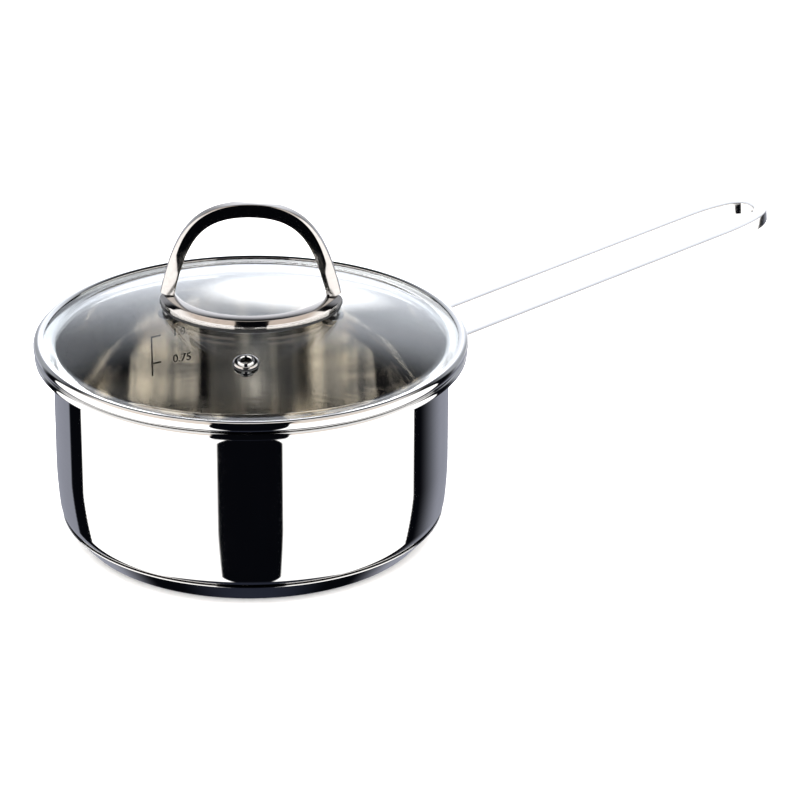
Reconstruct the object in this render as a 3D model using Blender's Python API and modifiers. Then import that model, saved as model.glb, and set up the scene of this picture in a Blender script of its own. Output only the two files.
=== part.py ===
"""A 16 cm stainless steel saucepan with a domed glass lid.

The pot stands on its base at the origin, its axis is Z, and the long handle
points along +X. The lid is turned so that its knob stands across LID_TURN.
Lengths are written in millimetres and multiplied by MM, so the model is in metres.
"""

import math

import bmesh
import bpy
from mathutils import Matrix, Vector

MM = 0.001
GAP = 0.3 * MM             # clearance kept between neighbouring pieces
ROUND_STEPS = 48           # segments round the pot and the lid
SMALL_STEPS = 24           # segments round screws, washers and the vent
CUTTER_OVERRUN = 10 * MM   # how far a cutter runs past what it cuts

# Pot body: deep-drawn sheet with a flared pouring rim
BODY_RADIUS = 80.8 * MM
WALL = 0.8 * MM
POT_HEIGHT = 80.0 * MM
RIM_RADIUS = 88.2 * MM
LIP_BEND = 2.2 * MM        # outer radius of the edge that is turned down
LIP_BLEND = math.radians(110)
BOTTOM_HEIGHT = 4.8 * MM   # underside of the sheet above the table
BOTTOM_CORNER = 10.0 * MM
TAPER_TOP = 34.0 * MM      # the wall leans in gently from here down to its bottom corner
TAPER = math.radians(6)

# Encapsulated base: an aluminium disc inside a pressed steel cap
CAP_WALL = 0.5 * MM
CAP_FOOT_RADIUS = 70.0 * MM
CAP_FOOT_CORNER = 2.6 * MM
CAP_TOP_RADIUS = 78.9 * MM
CAP_TOP_HEIGHT = 9.2 * MM
CAP_CORNER_END = math.radians(34)
CORE_CORNER_END = math.radians(66)

# Long handle: one square bar bent into a loop and welded to a plate
HANDLE_RISE = math.radians(4.9)
HANDLE_AXIS_HEIGHT = 53.5 * MM    # height at which its line meets the pot axis
HANDLE_LENGTH = 276.0 * MM        # from the pot axis to the middle of the end bar
HANDLE_HALF_WIDTH = 12.85 * MM
HANDLE_END_LENGTH = 33.0 * MM
HANDLE_END_ROUNDNESS = 2.6        # superellipse exponent of the rounded end
HANDLE_END_STEPS = 12
HANDLE_OVERLAP = 6.0 * MM         # each leg is swept this far into the pot, then cut to the plate
BAR_WIDTH = 5.8 * MM
BAR_HEIGHT = 5.4 * MM
BAR_CHAMFER = 0.5 * MM
PLATE_THICKNESS = 1.5 * MM
PLATE_WIDTH = 38.0 * MM
PLATE_HEIGHT = 20.0 * MM
PLATE_CORNER = 4.0 * MM
KEEPER_TRIM = 0.02 * MM           # keeps the plate's faces off those of its ring

# Lid: domed glass in a rolled steel band, turned on the pot by LID_TURN
LID_TURN = math.radians(-37)
BAND_SHEET = 0.4 * MM
BAND_BOTTOM = POT_HEIGHT + GAP
BAND_TOP = BAND_BOTTOM + 4.5 * MM
BAND_RADIUS = 88.66 * MM
BAND_LIP_RADIUS = 85.2 * MM
SKIRT_RADIUS = 79.0 * MM
SKIRT_BOTTOM = 74.0 * MM
SKIRT_BEND = 1.0 * MM

GLASS_THICKNESS = BAND_TOP - BAND_BOTTOM - 2 * BAND_SHEET - 2 * GAP
GLASS_RADIUS = 87.3 * MM
GLASS_EDGE_TOP = BAND_TOP - BAND_SHEET - GAP
DOME_EDGE_RADIUS = 80.4 * MM
DOME_RISE = 14.4 * MM
DOME_RADIUS = (DOME_EDGE_RADIUS ** 2 + DOME_RISE ** 2) / (2 * DOME_RISE)
DOME_CENTRE = GLASS_EDGE_TOP + DOME_RISE - DOME_RADIUS
INNER_DOME_REACH = 75.0 * MM      # where the dome's inner face runs out to the flat edge
INNER_EDGE_STEP = 0.5 * MM

# Knob: a crescent foot on the glass and an arch across its two ends
FOOT_OUTER_RADIUS = 37.9 * MM
FOOT_INNER_RADIUS = 31.9 * MM
FOOT_CENTRE = 9.4 * MM            # the crescent's centre lies behind the arch
FOOT_BACK = 2.3 * MM
FOOT_TOP = 102.4 * MM
FOOT_CHAMFER = 1.6 * MM
GASKET_THICKNESS = 1.4 * MM
GASKET_SETBACK = 0.6 * MM
SEAT_REACH = 48.0 * MM            # of the cutters bent to the glass under the crescent
ARCH_HALF_WIDTH = 33.9 * MM       # of its middle line, where it meets the crescent
ARCH_HEIGHT = 36.8 * MM
ARCH_TOP_REACH = 23.0 * MM        # how far its top and its legs pull the curve between them
ARCH_LEG_REACH = 24.0 * MM
ARCH_SPLAY = math.radians(13)     # lean of its legs
ARCH_STEPS = 32
ARCH_TRIM = 2.0 * MM              # its legs are swept this much too long, then cut level
ARCH_RADIAL = 5.8 * MM
ARCH_DEPTH = 4.6 * MM
ARCH_CHAMFER = 0.8 * MM

# Knob fixings, square to the glass
SCREW_OFFSET = 33.0 * MM
SCREW_SHANK = 1.5 * MM            # radii of the turned fixings
SCREW_HEAD = 3.4 * MM
SCREW_HEAD_HEIGHT = 2.2 * MM
SCREW_HEAD_FLAT = 2.4 * MM
SCREW_REACH = 5.2 * MM            # above the glass's outer face
SCREW_HOLE_REACH = 5.6 * MM
BUSH_SLEEVE = 2.5 * MM
BUSH_FLANGE = 5.0 * MM
BUSH_FLANGE_HEIGHT = 1.2 * MM
WASHER_RADIUS = 4.6 * MM
WASHER_HEIGHT = 0.8 * MM

# Steam vent, square to the glass
VENT_OFFSET = 50.0 * MM
VENT_BORE = 2.3 * MM
VENT_BARREL = 2.8 * MM
VENT_COLLAR = 3.7 * MM
VENT_COLLAR_HEIGHT = 1.0 * MM
VENT_FLANGE = 5.1 * MM
VENT_FLANGE_HEIGHT = 0.6 * MM
VENT_GASKET_RADIUS = 5.5 * MM
VENT_GASKET_HEIGHT = 0.4 * MM
VENT_WASHER_RADIUS = 4.8 * MM
VENT_WASHER_HEIGHT = 0.6 * MM
VENT_ROLL = 3.9 * MM
VENT_ROLL_HEIGHT = 0.6 * MM

MODEL = "saucepan_with_glass_lid"


# Scene and materials

def clear_scene():
    for old in list(bpy.data.objects):
        bpy.data.objects.remove(old, do_unlink=True)


def new_collection(name):
    made = bpy.data.collections.new(name)
    bpy.context.scene.collection.children.link(made)
    return made


def make_material(name, colour, metallic, roughness, transmission=0.0):
    material = bpy.data.materials.new(name)
    material.use_nodes = True
    shader = material.node_tree.nodes["Principled BSDF"]
    shader.inputs["Base Color"].default_value = (*colour, 1.0)
    shader.inputs["Metallic"].default_value = metallic
    shader.inputs["Roughness"].default_value = roughness
    shader.inputs["Transmission Weight"].default_value = transmission
    return material


def add_object(name, data, collection, material=None, parent=None):
    made = bpy.data.objects.new(name, data)
    collection.objects.link(made)
    if material:
        made.data.materials.append(material)
    if parent:
        made.parent = parent
    return made


def hide_cutter(cutter):
    cutter.hide_render = True
    cutter.display_type = "WIRE"


# Shared shapes

def arc(centre, radius, start, end, steps):
    """Points of an arc in a section, from one angle in degrees to another."""
    points = []
    for i in range(steps + 1):
        angle = math.radians(start + (end - start) * i / steps)
        points.append((centre[0] + radius * math.cos(angle), centre[1] + radius * math.sin(angle)))
    return points


def profile_mesh(name, points, closed):
    """A section in the XZ plane, ready for a Screw modifier."""
    mesh = bpy.data.meshes.new(name)
    edges = [(i, i + 1) for i in range(len(points) - 1)]
    if closed:
        edges.append((len(points) - 1, 0))
    mesh.from_pydata([(x, 0.0, z) for x, z in points], edges, [])
    return mesh


def add_turning(thing, steps):
    screw = thing.modifiers.new("turn", "SCREW")
    screw.axis = "Z"
    screw.steps = steps
    screw.render_steps = steps
    screw.use_merge_vertices = True
    screw.merge_threshold = 0.00001
    screw.use_smooth_shade = True


def turned(name, points, collection, material=None, parent=None, steps=ROUND_STEPS, closed=False):
    """A solid or an open sheet turned about the object's Z axis."""
    thing = add_object(name, profile_mesh(name, points, closed), collection, material, parent)
    add_turning(thing, steps)
    return thing


def add_sheet(thing, thickness):
    """Thicken an open surface away from the side that its normals face."""
    solidify = thing.modifiers.new("sheet", "SOLIDIFY")
    solidify.thickness = thickness
    solidify.offset = -1.0
    solidify.use_even_offset = True


def cut(thing, cutter, operation="DIFFERENCE"):
    boolean = thing.modifiers.new("cut_" + cutter.name, "BOOLEAN")
    boolean.operation = operation
    boolean.object = cutter
    boolean.solver = "EXACT"


def box_mesh(name, low, high):
    size = Vector(high) - Vector(low)
    middle = (Vector(high) + Vector(low)) / 2
    mesh = bpy.data.meshes.new(name)
    work = bmesh.new()
    placing = Matrix.Translation(middle) @ Matrix.Diagonal((*size, 1.0))
    bmesh.ops.create_cube(work, size=1.0, matrix=placing)
    work.to_mesh(mesh)
    work.free()
    return mesh


def bar_section(name, width, height, chamfer, cutters):
    """The closed outline of a chamfered rectangular bar, used as a curve's bevel."""
    half_w = width / 2
    half_h = height / 2
    corners = []
    for sx, sy in ((1, 1), (-1, 1), (-1, -1), (1, -1)):
        long_side = (sx * half_w, sy * (half_h - chamfer))
        short_side = (sx * (half_w - chamfer), sy * half_h)
        corners += [long_side, short_side] if sx == sy else [short_side, long_side]
    outline = bpy.data.curves.new(name, "CURVE")
    outline.dimensions = "2D"
    spline = outline.splines.new("POLY")
    spline.points.add(len(corners) - 1)
    for point, (x, y) in zip(spline.points, corners):
        point.co = (x, y, 0.0, 1.0)
    spline.use_cyclic_u = True
    section = add_object(name, outline, cutters)
    hide_cutter(section)
    return section


def bar_along(name, path, section, collection, material, parent=None):
    """Sweep a bar section along a path in the object's XY plane."""
    rail = bpy.data.curves.new(name, "CURVE")
    rail.dimensions = "2D"
    rail.fill_mode = "NONE"
    rail.bevel_mode = "OBJECT"
    rail.bevel_object = section
    rail.use_fill_caps = True
    spline = rail.splines.new("POLY")
    spline.points.add(len(path) - 1)
    for point, (x, y) in zip(spline.points, path):
        point.co = (x, y, 0.0, 1.0)
    return add_object(name, rail, collection, material, parent)


def curve_to_mesh(rail, name, collection, material):
    """Replace a curve by a closed mesh, so that a Boolean can cut it."""
    bpy.context.view_layer.update()
    evaluated = rail.evaluated_get(bpy.context.evaluated_depsgraph_get())
    mesh = bpy.data.meshes.new_from_object(evaluated)
    mesh.name = name
    work = bmesh.new()
    work.from_mesh(mesh)
    bmesh.ops.remove_doubles(work, verts=work.verts, dist=0.000005)
    bmesh.ops.recalc_face_normals(work, faces=work.faces)
    work.to_mesh(mesh)
    work.free()
    mesh.materials.clear()
    made = add_object(name, mesh, collection, material, rail.parent)
    made.matrix_world = rail.matrix_world
    bpy.data.objects.remove(rail, do_unlink=True)
    return made


# Pot

def bottom_corner():
    """Centres of the wall's taper and of the corner below it, and the taper's radius."""
    corner_height = BOTTOM_HEIGHT + BOTTOM_CORNER
    taper_end = corner_height - BOTTOM_CORNER * math.sin(TAPER)
    radius = (TAPER_TOP - taper_end) / math.sin(TAPER)
    taper = (BODY_RADIUS - radius, TAPER_TOP)
    return taper, (taper[0] + (radius - BOTTOM_CORNER) * math.cos(TAPER), corner_height), radius


def pot_outline():
    """Outer face of the sheet, from the turned-down lip to the middle of the bottom."""
    under_bend = LIP_BEND - WALL
    lip = (RIM_RADIUS - LIP_BEND, POT_HEIGHT - LIP_BEND)
    blend_x = lip[0] + under_bend * math.cos(LIP_BLEND)
    blend_z = lip[1] + under_bend * math.sin(LIP_BLEND)
    flare = (blend_x - BODY_RADIUS) / (1 + math.cos(LIP_BLEND))
    flare_centre = (BODY_RADIUS + flare, blend_z - flare * math.sin(LIP_BLEND))
    taper_centre, corner_centre, taper_radius = bottom_corner()
    points = arc(lip, under_bend, 0, math.degrees(LIP_BLEND), 6)
    points += arc(flare_centre, flare, math.degrees(LIP_BLEND), 180, 4)[1:]
    points += arc(taper_centre, taper_radius, 0, -math.degrees(TAPER), 3)
    points += arc(corner_centre, BOTTOM_CORNER, -math.degrees(TAPER), -90, 6)[1:]
    points.append((0.0, BOTTOM_HEIGHT))
    return points


def make_pot_body(parts, steel):
    body = turned("pot_body", pot_outline(), parts, steel)
    add_sheet(body, WALL)
    return body


def cap_outline():
    """Outer face of the base cap, from its upper edge to the middle of the foot."""
    corner = (CAP_FOOT_RADIUS, CAP_FOOT_CORNER)
    points = [(CAP_TOP_RADIUS, CAP_TOP_HEIGHT)]
    points += arc(corner, CAP_FOOT_CORNER, -math.degrees(CAP_CORNER_END), -90, 4)
    points.append((0.0, 0.0))
    return points


def make_base_cap(parts, steel):
    cap = turned("base_cap", cap_outline(), parts, steel)
    add_sheet(cap, CAP_WALL)
    return cap


def make_core_disc(parts, aluminium):
    """Fills the space between the pot's bottom and the cap, with a gap all round."""
    inset = CAP_WALL + GAP
    corner_centre = bottom_corner()[1]
    points = [(0.0, BOTTOM_HEIGHT - GAP)]
    points += arc(corner_centre, BOTTOM_CORNER + GAP, -90, -math.degrees(CORE_CORNER_END), 3)
    points += arc((CAP_FOOT_RADIUS, CAP_FOOT_CORNER), CAP_FOOT_CORNER - inset,
                  -math.degrees(CAP_CORNER_END), -90, 3)
    points.append((0.0, inset))
    return turned("core_disc", points, parts, aluminium)


# Handle

def make_wall_cutter(cutters):
    """The pot's wall and the handle plate, as a solid that trims the handle's ends."""
    radius = BODY_RADIUS + 2 * GAP + PLATE_THICKNESS
    mesh = bpy.data.meshes.new("wall_cutter")
    work = bmesh.new()
    middle = Matrix.Translation((0.0, 0.0, POT_HEIGHT / 2))
    bmesh.ops.create_cone(work, cap_ends=True, segments=2 * ROUND_STEPS, radius1=radius,
                          radius2=radius, depth=POT_HEIGHT, matrix=middle)
    work.to_mesh(mesh)
    work.free()
    cutter = add_object("wall_cutter", mesh, cutters)
    hide_cutter(cutter)
    return cutter


def handle_path():
    """Middle line of the looped bar, from one weld round the end to the other."""
    start = BODY_RADIUS + 2 * GAP + PLATE_THICKNESS - HANDLE_OVERLAP
    bend_start = HANDLE_LENGTH - HANDLE_END_LENGTH
    power = 2 / HANDLE_END_ROUNDNESS
    half = []
    for i in range(HANDLE_END_STEPS + 1):
        angle = math.pi / 2 * i / HANDLE_END_STEPS
        along = bend_start + HANDLE_END_LENGTH * math.sin(angle) ** power
        across = HANDLE_HALF_WIDTH * max(math.cos(angle), 0.0) ** power
        half.append((along, across))
    side = [(start, HANDLE_HALF_WIDTH)] + half
    other = [(x, -y) for x, y in reversed(side[:-1])]
    return side + other


def make_handle_loop(parts, cutters, steel, wall_cutter):
    section = bar_section("handle_section", BAR_WIDTH, BAR_HEIGHT, BAR_CHAMFER, cutters)
    rail = bar_along("handle_rail", handle_path(), section, cutters, steel)
    rail.rotation_euler = (0.0, -HANDLE_RISE, 0.0)
    rail.location = (0.0, 0.0, HANDLE_AXIS_HEIGHT)
    loop = curve_to_mesh(rail, "handle_loop", parts, steel)
    cut(loop, wall_cutter)
    return loop


def make_handle_plate(parts, cutters, steel):
    """A curved plate on the wall: a turned ring cut to the plate's outline."""
    inner = BODY_RADIUS + GAP
    outer = inner + PLATE_THICKNESS
    middle = HANDLE_AXIS_HEIGHT + inner * math.tan(HANDLE_RISE)
    low = middle - PLATE_HEIGHT / 2
    high = middle + PLATE_HEIGHT / 2
    ring = [(inner, high), (outer, high), (outer, low), (inner, low)]
    plate = turned("handle_plate", ring, parts, steel, steps=2 * ROUND_STEPS, closed=True)
    half = PLATE_WIDTH / 2
    keeper_mesh = box_mesh("plate_keeper", (0.0, -half, low - CUTTER_OVERRUN),
                           (outer + CUTTER_OVERRUN, half, high + CUTTER_OVERRUN))
    keeper = add_object("plate_keeper", keeper_mesh, cutters)
    round_plate_corners(keeper, half, middle)
    hide_cutter(keeper)
    cut(plate, keeper, "INTERSECT")
    return plate


def round_plate_corners(keeper, half_width, middle):
    """Shape the keeper as a rounded rectangle seen along X."""
    work = bmesh.new()
    work.from_mesh(keeper.data)
    for vertex in work.verts:
        sign = 1 if vertex.co.z > middle else -1
        vertex.co.z = middle + sign * (PLATE_HEIGHT / 2 - KEEPER_TRIM)
        vertex.co.y = math.copysign(half_width, vertex.co.y)
    along_x = [e for e in work.edges
               if abs(e.verts[0].co.x - e.verts[1].co.x) > PLATE_THICKNESS]
    bmesh.ops.bevel(work, geom=along_x, offset=PLATE_CORNER, segments=4,
                    profile=0.5, affect="EDGES")
    work.to_mesh(keeper.data)
    work.free()


# Lid

def dome_height(radius, offset=0.0):
    """Height of the glass's outer sphere, or of one offset from it, at a radius."""
    return DOME_CENTRE + math.sqrt((DOME_RADIUS + offset) ** 2 - radius ** 2)


def dome_points(reach, offset, steps):
    """The dome's section from the axis out to a radius."""
    radii = [reach * i / steps for i in range(steps + 1)]
    return [(radius, dome_height(radius, offset)) for radius in radii]


def square_to_glass(x, y, depth=0.0):
    """A frame on the glass's outer face at x, y whose Z points out of the glass."""
    radius = math.hypot(x, y)
    point = Vector((x, y, dome_height(radius)))
    normal = (point - Vector((0.0, 0.0, DOME_CENTRE))).normalized()
    turn = normal.to_track_quat("Z", "Y").to_matrix().to_4x4()
    return Matrix.Translation(point - normal * depth) @ turn


def make_lid_glass(parts, cutters, glass, lid):
    edge_bottom = GLASS_EDGE_TOP - GLASS_THICKNESS
    points = dome_points(DOME_EDGE_RADIUS, 0.0, 9)
    points += arc((GLASS_RADIUS - GLASS_THICKNESS / 2, GLASS_EDGE_TOP - GLASS_THICKNESS / 2),
                  GLASS_THICKNESS / 2, 90, -90, 6)
    points.append((DOME_EDGE_RADIUS - INNER_EDGE_STEP, edge_bottom))
    points += reversed(dome_points(INNER_DOME_REACH, -GLASS_THICKNESS, 8))
    pane = turned("lid_glass", points, parts, glass, lid)
    for place, radius in fixing_holes():
        hole = hole_cutter("glass_hole", place, radius, cutters, lid)
        cut(pane, hole)
    return pane


def fixing_holes():
    """The frames and radii of the holes through the glass."""
    sleeve_hole = BUSH_SLEEVE + GAP
    barrel_hole = VENT_BARREL + GAP
    return [(square_to_glass(SCREW_OFFSET, 0.0), sleeve_hole),
            (square_to_glass(-SCREW_OFFSET, 0.0), sleeve_hole),
            (square_to_glass(0.0, -VENT_OFFSET), barrel_hole)]


def hole_cutter(name, place, radius, cutters, lid, low=-CUTTER_OVERRUN, high=CUTTER_OVERRUN):
    mesh = bpy.data.meshes.new(name)
    work = bmesh.new()
    middle = Matrix.Translation((0.0, 0.0, (low + high) / 2))
    bmesh.ops.create_cone(work, cap_ends=True, segments=SMALL_STEPS, radius1=radius,
                          radius2=radius, depth=high - low, matrix=middle)
    work.to_mesh(mesh)
    work.free()
    cutter = add_object(name, mesh, cutters, parent=lid)
    cutter.matrix_local = place
    hide_cutter(cutter)
    return cutter


def make_rim_band(parts, steel, lid):
    """Rolled band: a lip over the glass, a round nose, a flange and a locating skirt."""
    half_height = (BAND_TOP - BAND_BOTTOM) / 2
    nose_centre = (BAND_RADIUS - half_height, BAND_BOTTOM + half_height)
    skirt_centre = (SKIRT_RADIUS + SKIRT_BEND, BAND_BOTTOM - SKIRT_BEND)
    points = [(BAND_LIP_RADIUS, BAND_TOP)]
    points += arc(nose_centre, half_height, 90, -90, 8)
    points += arc(skirt_centre, SKIRT_BEND, 90, 180, 3)
    points.append((SKIRT_RADIUS, SKIRT_BOTTOM))
    band = turned("lid_rim_band", points, parts, steel, lid)
    add_sheet(band, BAND_SHEET)
    return band


def dome_cutter(name, offset, cutters, lid):
    """A solid whose upper face is the glass's outer sphere, raised by an offset."""
    points = dome_points(SEAT_REACH, offset, 12)
    floor = GLASS_EDGE_TOP - CUTTER_OVERRUN
    points += [(SEAT_REACH, floor), (0.0, floor)]
    cutter = turned(name, points, cutters, parent=lid)
    hide_cutter(cutter)
    return cutter


def front_keeper(name, back, cutters, lid):
    """A box that keeps what lies in front of a plane behind the arch."""
    side = FOOT_OUTER_RADIUS + CUTTER_OVERRUN
    mesh = box_mesh(name, (-side, -side, GLASS_EDGE_TOP), (side, back, FOOT_TOP + CUTTER_OVERRUN))
    keeper = add_object(name, mesh, cutters, parent=lid)
    hide_cutter(keeper)
    return keeper


def make_knob_foot(parts, cutters, steel, lid, screw_holes):
    floor = GLASS_EDGE_TOP
    ring = [(FOOT_INNER_RADIUS, FOOT_TOP),
            (FOOT_OUTER_RADIUS - FOOT_CHAMFER, FOOT_TOP),
            (FOOT_OUTER_RADIUS, FOOT_TOP - FOOT_CHAMFER),
            (FOOT_OUTER_RADIUS, floor),
            (FOOT_INNER_RADIUS, floor)]
    foot = turned("knob_foot", ring, parts, steel, lid, closed=True)
    foot.location = (0.0, FOOT_CENTRE, 0.0)
    cut(foot, front_keeper("foot_keeper", FOOT_BACK, cutters, lid), "INTERSECT")
    cut(foot, dome_cutter("foot_seat", GASKET_THICKNESS + 2 * GAP, cutters, lid))
    for hole in screw_holes:
        cut(foot, hole)
    return foot


def make_knob_gasket(parts, cutters, silicone, lid, screw_holes):
    """The silicone pad under the crescent, bent to the glass on both faces."""
    outer = FOOT_OUTER_RADIUS - GASKET_SETBACK
    inner = FOOT_INNER_RADIUS + GASKET_SETBACK
    top = FOOT_TOP - FOOT_CHAMFER
    floor = GLASS_EDGE_TOP
    ring = [(inner, top), (outer, top), (outer, floor), (inner, floor)]
    pad = turned("knob_gasket", ring, parts, silicone, lid, closed=True)
    pad.location = (0.0, FOOT_CENTRE, 0.0)
    back = FOOT_BACK - GASKET_SETBACK
    cut(pad, front_keeper("gasket_keeper", back, cutters, lid), "INTERSECT")
    cut(pad, dome_cutter("gasket_top", GASKET_THICKNESS + GAP, cutters, lid), "INTERSECT")
    cut(pad, dome_cutter("gasket_seat", GAP, cutters, lid))
    for hole in screw_holes:
        cut(pad, hole)
    return pad


def arch_path():
    """Middle line of the arch, symmetric, as two Bezier curves that meet at its top."""
    leg = (ARCH_HALF_WIDTH - ARCH_LEG_REACH * math.sin(ARCH_SPLAY),
           ARCH_LEG_REACH * math.cos(ARCH_SPLAY))
    guides = ((ARCH_HALF_WIDTH, 0.0), leg, (ARCH_TOP_REACH, ARCH_HEIGHT), (0.0, ARCH_HEIGHT))
    half = [(ARCH_HALF_WIDTH + ARCH_TRIM * math.sin(ARCH_SPLAY), -ARCH_TRIM * math.cos(ARCH_SPLAY))]
    steps = ARCH_STEPS // 2
    for i in range(steps + 1):
        t = i / steps
        weights = ((1 - t) ** 3, 3 * t * (1 - t) ** 2, 3 * t * t * (1 - t), t ** 3)
        half.append(tuple(sum(w * guide[k] for w, guide in zip(weights, guides)) for k in (0, 1)))
    return half + [(-x, z) for x, z in reversed(half[:-1])]


def make_knob_arch(parts, cutters, steel, lid):
    section = bar_section("arch_section", ARCH_RADIAL, ARCH_DEPTH, ARCH_CHAMFER, cutters)
    rail = bar_along("arch_rail", arch_path(), section, cutters, steel, lid)
    rail.rotation_euler = (math.pi / 2, 0.0, 0.0)
    floor = FOOT_TOP + GAP
    rail.location = (0.0, 0.0, floor)
    arch = curve_to_mesh(rail, "knob_arch", parts, steel)
    side = ARCH_HALF_WIDTH + CUTTER_OVERRUN
    below = box_mesh("arch_trim", (-side, -CUTTER_OVERRUN, floor - CUTTER_OVERRUN),
                     (side, CUTTER_OVERRUN, floor))
    trim = add_object("arch_trim", below, cutters, parent=lid)
    hide_cutter(trim)
    cut(arch, trim)
    return arch


def make_screw_holes(cutters, lid):
    holes = []
    for side in (1, -1):
        place = square_to_glass(side * SCREW_OFFSET, 0.0)
        holes.append(hole_cutter("screw_hole", place, SCREW_SHANK + GAP, cutters, lid,
                                 high=SCREW_HOLE_REACH))
    return holes


def place_turned(name, points, place, parts, material, lid, closed=False):
    thing = turned(name, points, parts, material, lid, steps=SMALL_STEPS, closed=closed)
    thing.matrix_local = place
    return thing


def make_knob_fixing(side_name, side, parts, steel, silicone, lid):
    """Silicone bush, steel washer and screw under one end of the knob."""
    place = square_to_glass(side * SCREW_OFFSET, 0.0)
    bore = SCREW_SHANK + GAP
    under = -GLASS_THICKNESS - GAP
    bush_end = under - BUSH_FLANGE_HEIGHT
    sleeve_top = -GAP
    bush = [(bore, sleeve_top), (BUSH_SLEEVE, sleeve_top), (BUSH_SLEEVE, under),
            (BUSH_FLANGE, under), (BUSH_FLANGE, bush_end), (bore, bush_end)]
    place_turned("knob_bush_" + side_name, bush, place, parts, silicone, lid, closed=True)
    washer_top = bush_end - GAP
    washer_end = washer_top - WASHER_HEIGHT
    washer = [(bore, washer_top), (WASHER_RADIUS, washer_top),
              (WASHER_RADIUS, washer_end), (bore, washer_end)]
    place_turned("knob_washer_" + side_name, washer, place, parts, steel, lid, closed=True)
    head_top = washer_end - GAP
    head_end = head_top - SCREW_HEAD_HEIGHT
    screw = [(0.0, SCREW_REACH), (SCREW_SHANK, SCREW_REACH), (SCREW_SHANK, head_top),
             (SCREW_HEAD, head_top), (SCREW_HEAD, head_end + GAP), (SCREW_HEAD_FLAT, head_end),
             (0.0, head_end)]
    place_turned("knob_screw_" + side_name, screw, place, parts, steel, lid)


def make_vent(parts, steel, silicone, lid):
    """Eyelet rolled over a washer under the glass, on a silicone ring above it."""
    place = square_to_glass(0.0, -VENT_OFFSET)
    gasket_low = GAP
    gasket_high = gasket_low + VENT_GASKET_HEIGHT
    hole = VENT_BARREL + GAP
    gasket = [(hole, gasket_high), (VENT_GASKET_RADIUS, gasket_high),
              (VENT_GASKET_RADIUS, gasket_low), (hole, gasket_low)]
    place_turned("vent_gasket", gasket, place, parts, silicone, lid, closed=True)
    washer_top = -GLASS_THICKNESS - GAP
    washer_end = washer_top - VENT_WASHER_HEIGHT
    washer = [(hole, washer_top), (VENT_WASHER_RADIUS, washer_top),
              (VENT_WASHER_RADIUS, washer_end), (hole, washer_end)]
    place_turned("vent_washer", washer, place, parts, steel, lid, closed=True)
    flange_low = gasket_high + GAP
    flange_high = flange_low + VENT_FLANGE_HEIGHT
    collar_round = (VENT_COLLAR - VENT_BORE) / 2
    collar_top = (VENT_BORE + collar_round, flange_high + VENT_COLLAR_HEIGHT - collar_round)
    roll_top = washer_end - GAP
    eyelet = arc(collar_top, collar_round, 180, 0, 6)
    eyelet += [(VENT_COLLAR, flange_high), (VENT_FLANGE - GAP, flange_high),
               (VENT_FLANGE, flange_high - GAP), (VENT_FLANGE, flange_low),
               (VENT_BARREL, flange_low), (VENT_BARREL, roll_top),
               (VENT_ROLL, roll_top), (VENT_ROLL, roll_top - VENT_ROLL_HEIGHT),
               (VENT_BORE, roll_top - VENT_ROLL_HEIGHT)]
    place_turned("vent_eyelet", eyelet, place, parts, steel, lid, closed=True)


def main():
    clear_scene()
    parts = new_collection(MODEL)
    cutters = new_collection("cutters")
    mirror_steel = make_material("polished_steel", (0.80, 0.80, 0.81), 1.0, 0.06)
    satin_steel = make_material("brushed_steel", (0.72, 0.72, 0.73), 1.0, 0.28)
    aluminium = make_material("aluminium", (0.86, 0.86, 0.87), 1.0, 0.35)
    glass = make_material("tempered_glass", (0.95, 0.98, 0.97), 0.0, 0.02, transmission=1.0)
    silicone = make_material("black_silicone", (0.03, 0.03, 0.035), 0.0, 0.55)

    make_pot_body(parts, mirror_steel)
    make_base_cap(parts, mirror_steel)
    make_core_disc(parts, aluminium)
    make_handle_plate(parts, cutters, satin_steel)
    make_handle_loop(parts, cutters, mirror_steel, make_wall_cutter(cutters))

    lid = add_object("lid_axis", None, parts)
    lid.rotation_euler = (0.0, 0.0, LID_TURN)
    screw_holes = make_screw_holes(cutters, lid)
    make_lid_glass(parts, cutters, glass, lid)
    make_rim_band(parts, mirror_steel, lid)
    make_knob_foot(parts, cutters, mirror_steel, lid, screw_holes)
    make_knob_gasket(parts, cutters, silicone, lid, screw_holes)
    make_knob_arch(parts, cutters, mirror_steel, lid)
    make_knob_fixing("right", 1, parts, satin_steel, silicone, lid)
    make_knob_fixing("left", -1, parts, satin_steel, silicone, lid)
    make_vent(parts, mirror_steel, silicone, lid)


main()
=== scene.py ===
"""Studio look of a 16 cm stainless steel saucepan with a domed glass lid.

Every piece is built round the fixed frame in the frame's own axes. Lengths are written
in millimetres and multiplied by MM, so the scene is in metres.
"""

import math

import bmesh
import bpy
from mathutils import Matrix, Vector


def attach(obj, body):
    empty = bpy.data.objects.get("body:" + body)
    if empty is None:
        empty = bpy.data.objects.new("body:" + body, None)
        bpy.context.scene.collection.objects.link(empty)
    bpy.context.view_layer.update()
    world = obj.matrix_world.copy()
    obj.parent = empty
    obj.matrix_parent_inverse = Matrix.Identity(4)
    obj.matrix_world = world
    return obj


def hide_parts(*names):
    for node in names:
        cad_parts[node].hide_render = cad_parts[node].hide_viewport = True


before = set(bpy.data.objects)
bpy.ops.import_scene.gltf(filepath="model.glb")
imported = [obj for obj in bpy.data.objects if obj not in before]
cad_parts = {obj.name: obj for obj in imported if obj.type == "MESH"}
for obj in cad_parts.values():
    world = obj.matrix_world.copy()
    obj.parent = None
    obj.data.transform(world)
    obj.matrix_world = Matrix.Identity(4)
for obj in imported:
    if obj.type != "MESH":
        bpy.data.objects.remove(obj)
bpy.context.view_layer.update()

MM = 0.001
ROUND = 288                # segments round the pot and the lid
SMALL_ROUND = 64           # segments round screws, washers and the vent
SHARP_ANGLE = math.radians(38)

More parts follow.
